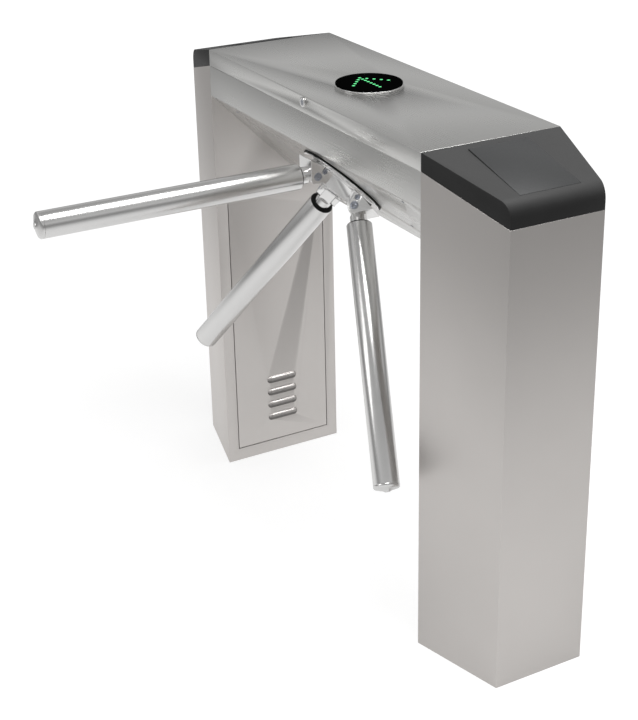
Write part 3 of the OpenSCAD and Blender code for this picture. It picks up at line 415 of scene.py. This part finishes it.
node_finish = {
    "upright_steel": ["near_pedestal", "far_pedestal", "near_door", "far_door"],
    "long_steel": ["beam", "lid"],
    "hub_chrome": ["hub"],
    "chrome": [
        "arm_shanks",
        "lid_lock_barrel",
        "near_door_barrel",
        "far_door_barrel",
        "bearing_balls",
    ],
    "tube_chrome": ["arm_1_tube", "arm_2_tube", "arm_3_tube", "arm_end_caps"],
    "bolt": ["arm_bolts", "hub_bolt"],
    "shell": ["near_end_cap", "far_end_cap"],
    "window": ["near_reader_window", "far_reader_window"],
    "indicator": ["indicator_housing"],
    "rubber": ["arm_collars", "hub_seal"],
    "zinc": [
        "near_base_plate",
        "far_base_plate",
        "front_plate",
        "rear_plate",
        "frame_pillars",
        "frame_screws",
        "pawl_pins",
        "lid_striker",
        "lid_hinge_leaves",
        "lid_hinge_pins",
        "door_hinge_pins",
        "lid_hinge_straps",
        "lid_lock_plug",
        "near_door_plug",
        "far_door_plug",
        "shaft_nut",
        "power_supply",
    ],
    "ground": [
        "bearing_outer_races",
        "bearing_inner_races",
        "main_shaft",
        "lock_wheel",
        "main_gear",
        "motor_pinion",
        "lock_pawl_a",
        "lock_pawl_b",
        "plunger_a",
        "plunger_b",
    ],
    "casing": ["card_readers", "solenoids", "drive_motor", "encoder_disc"],
    "board": ["sensor_board", "control_board", "indicator_board"],
    "led": ["indicator_leds"],
}
for finish, names in node_finish.items():
    for name in names:
        frame["nodes"][name].material_slots[0].material = finishes[finish]

# Pieces with rounded edges

# Angle between two faces from which their edge is sharp, and up to which they are one face
SHARP = math.radians(32)
FLAT = math.radians(0.4)
# Distance within which two points are one
WELD = 1e-6
EDGE_SEGMENTS = 2

# Width of the rounding on each piece's sharp edges
EDGE_WIDTHS = {
    "near_pedestal": 0.0005,
    "far_pedestal": 0.0005,
    "beam": 0.0005,
    "lid": 0.0008,
    "near_door": 0.0004,
    "far_door": 0.0004,
    "near_end_cap": 0.0016,
    "far_end_cap": 0.0016,
    "near_reader_window": 0.0004,
    "far_reader_window": 0.0004,
    "indicator_housing": 0.0004,
    "hub": 0.0018,
    "arm_shanks": 0.0008,
    "arm_collars": 0.0008,
    "arm_1_tube": 0.0004,
    "arm_2_tube": 0.0004,
    "arm_3_tube": 0.0004,
    "arm_end_caps": 0.0008,
    "arm_bolts": 0.0004,
    "hub_bolt": 0.0005,
    "lid_lock_barrel": 0.0006,
    "near_door_barrel": 0.0006,
    "far_door_barrel": 0.0006,
}


def soften(node, width):
    """Replaces a node with the same shape, its edges rounded and its curves smooth."""
    source = frame["nodes"][node]
    mesh = source.data.copy()
    bm = bmesh.new()
    bm.from_mesh(mesh)
    bmesh.ops.remove_doubles(bm, verts=bm.verts, dist=WELD)
    bmesh.ops.dissolve_limit(bm, angle_limit=FLAT, verts=bm.verts, edges=bm.edges)
    bm.to_mesh(mesh)
    bm.free()
    piece = bpy.data.objects.new(node + "_body", mesh)
    bpy.context.scene.collection.objects.link(piece)
    bevel = piece.modifiers.new("round", "BEVEL")
    bevel.width = width
    bevel.segments = EDGE_SEGMENTS
    bevel.limit_method = "ANGLE"
    bevel.angle_limit = SHARP
    bevel.use_clamp_overlap = True
    bpy.context.view_layer.update()
    ready = bpy.data.meshes.new_from_object(
        piece.evaluated_get(bpy.context.evaluated_depsgraph_get())
    )
    piece.modifiers.clear()
    piece.data = ready
    ready.name = node + "_body"
    for polygon in ready.polygons:
        polygon.use_smooth = True
    ready.set_sharp_from_angle(angle=SHARP)
    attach(piece, source["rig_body"])
    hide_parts(node)
    return piece


softened = {node: soften(node, width) for node, width in EDGE_WIDTHS.items()}

# Second finishes

# Distance from the middle within which a door's faces are its hoods, and heights between
# which the bezel's faces are its foot
HOOD_REACH = 0.4155
FOOT_LOW = 0.98
FOOT_HIGH = 0.9821


def second_finish(node, finish, chosen):
    """Gives a softened node's chosen faces a finish of their own."""
    mesh = softened[node].data
    mesh.materials.append(finishes[finish])
    for polygon in mesh.polygons:
        polygon.material_index = int(chosen(polygon.center))


# The louvres' hoods stand out of the door's face, and the bezel's foot is a bright ring
for door in ("near_door", "far_door"):
    second_finish(door, "hood", lambda centre: abs(centre.y) < HOOD_REACH)
second_finish("indicator_housing", "chrome", lambda centre: FOOT_LOW < centre.z < FOOT_HIGH)

# Stage, lights and camera

FLOOR_REACH = 14.0
FLOOR_GREY = 0.38
# The floor's glow from the fade's middle to its end, as the camera and as reflections see it
FADE_CENTRE = (-0.1, 0.9, 0.0)
FADE_REACH = 5.0
GLOW_SEEN = (0.7, 1.0)
GLOW_MIRRORED = (0.68, 0.2)

# Levels of the surroundings by how far up they lie. The camera sees them white
SKY_LEVELS = ((0.0, 0.28), (0.2, 0.4), (0.34, 0.68), (0.47, 0.56), (0.8, 0.4), (1.0, 0.4))

# The photograph's camera: its place, its azimuth, elevation and roll in degrees, and its lens
CAMERA_PLACE = (-1.466, -2.518, 1.7638)
CAMERA_DEGREES = (29.847, 24.148, -0.598)
LENS_MM = 77.78
SENSOR_MM = 36.0
SHIFT_X = -0.0598
SHIFT_Y = -0.0368
FAR_CLIP = 60.0


def add_floor():
    mesh = bpy.data.meshes.new("floor")
    mesh.from_pydata(
        [
            (-FLOOR_REACH, -FLOOR_REACH, 0),
            (FLOOR_REACH, -FLOOR_REACH, 0),
            (FLOOR_REACH, FLOOR_REACH, 0),
            (-FLOOR_REACH, FLOOR_REACH, 0),
        ],
        [],
        [(0, 1, 2, 3)],
    )
    floor = bpy.data.objects.new("floor", mesh)
    bpy.context.scene.collection.objects.link(floor)
    material, g = new_material("floor")
    path = g.add("ShaderNodeLightPath")
    mirror = g.math("MAXIMUM", path.outputs["Is Glossy Ray"], path.outputs["Is Transmission Ray"])
    away = g.vector("DISTANCE", g.coords(), FADE_CENTRE)["Value"]
    seen = g.span(away, 0.0, FADE_REACH, *GLOW_SEEN)
    seen = g.math("MULTIPLY", path.outputs["Is Camera Ray"], seen)
    mirrored = g.math("MULTIPLY", mirror, g.span(away, 0.0, FADE_REACH, *GLOW_MIRRORED))
    strength = g.math("ADD", seen, mirrored)
    diffuse = g.add("ShaderNodeBsdfDiffuse", {"Color": grey(FLOOR_GREY)})
    glow = g.add("ShaderNodeEmission", {"Color": grey(1.0), "Strength": strength})
    both = g.add("ShaderNodeAddShader")
    g.put(both.inputs[0], diffuse.outputs[0])
    g.put(both.inputs[1], glow.outputs[0])
    g.add("ShaderNodeOutputMaterial", {"Surface": both.outputs[0]})
    mesh.materials.append(material)


def add_world():
    world = bpy.data.worlds.new("studio")
    bpy.context.scene.world = world
    world.use_nodes = True
    g = Graph(world.node_tree)
    path = g.add("ShaderNodeLightPath")
    way = g.add("ShaderNodeTexCoord").outputs["Generated"]
    height = g.add("ShaderNodeSeparateXYZ", {"Vector": way}).outputs["Z"]
    ramp = g.add("ShaderNodeValToRGB", {"Fac": height})
    stops = ramp.color_ramp.elements
    for stop, (place, level) in ((0, SKY_LEVELS[0]), (1, SKY_LEVELS[-1])):
        stops[stop].position = place
        stops[stop].color = grey(level)
    for place, level in SKY_LEVELS[1:-1]:
        stops.new(place).color = grey(level)
    seen = g.mix(path.outputs["Is Camera Ray"], ramp.outputs[0], grey(1.0))
    back = g.add("ShaderNodeBackground", {"Color": seen, "Strength": 1.0})
    g.add("ShaderNodeOutputWorld", {"Surface": back.outputs[0]})


def add_light(name, place, target, size, watts):
    light = bpy.data.lights.new(name, "AREA")
    light.shape = "RECTANGLE"
    light.size, light.size_y = size
    light.energy = watts
    lamp = bpy.data.objects.new(name, light)
    lamp.location = place
    lamp.rotation_euler = (Vector(target) - Vector(place)).to_track_quat("-Z", "Y").to_euler()
    bpy.context.scene.collection.objects.link(lamp)


def add_camera():
    azimuth, elevation, roll = (math.radians(v) for v in CAMERA_DEGREES)
    ahead = Vector(
        (
            math.sin(azimuth) * math.cos(elevation),
            math.cos(azimuth) * math.cos(elevation),
            -math.sin(elevation),
        )
    )
    right = ahead.cross(Vector((0, 0, 1))).normalized()
    up = right.cross(ahead)
    right, up = (
        math.cos(roll) * right + math.sin(roll) * up,
        math.cos(roll) * up - math.sin(roll) * right,
    )
    turn = Matrix((right, up, -ahead)).transposed().to_4x4()
    data = bpy.data.cameras.new("photo_view")
    data.sensor_fit = "VERTICAL"
    data.sensor_height = SENSOR_MM
    data.lens = LENS_MM
    data.shift_x = SHIFT_X
    data.shift_y = SHIFT_Y
    data.clip_end = FAR_CLIP
    camera = bpy.data.objects.new("photo_view", data)
    camera.matrix_world = Matrix.Translation(CAMERA_PLACE) @ turn
    bpy.context.scene.collection.objects.link(camera)
    bpy.context.scene.camera = camera


add_floor()
add_world()
add_light(
    "overhead", place=(0.2, -0.8, 3.3), target=(0.2, -0.8, 0.0), size=(2.4, 1.5), watts=75.0
)
add_light("side", place=(-3.2, 0.6, 2.2), target=(0, 0, 0.6), size=(1.6, 1.6), watts=12.0)
add_camera()
bpy.context.scene.view_settings.view_transform = "Standard"
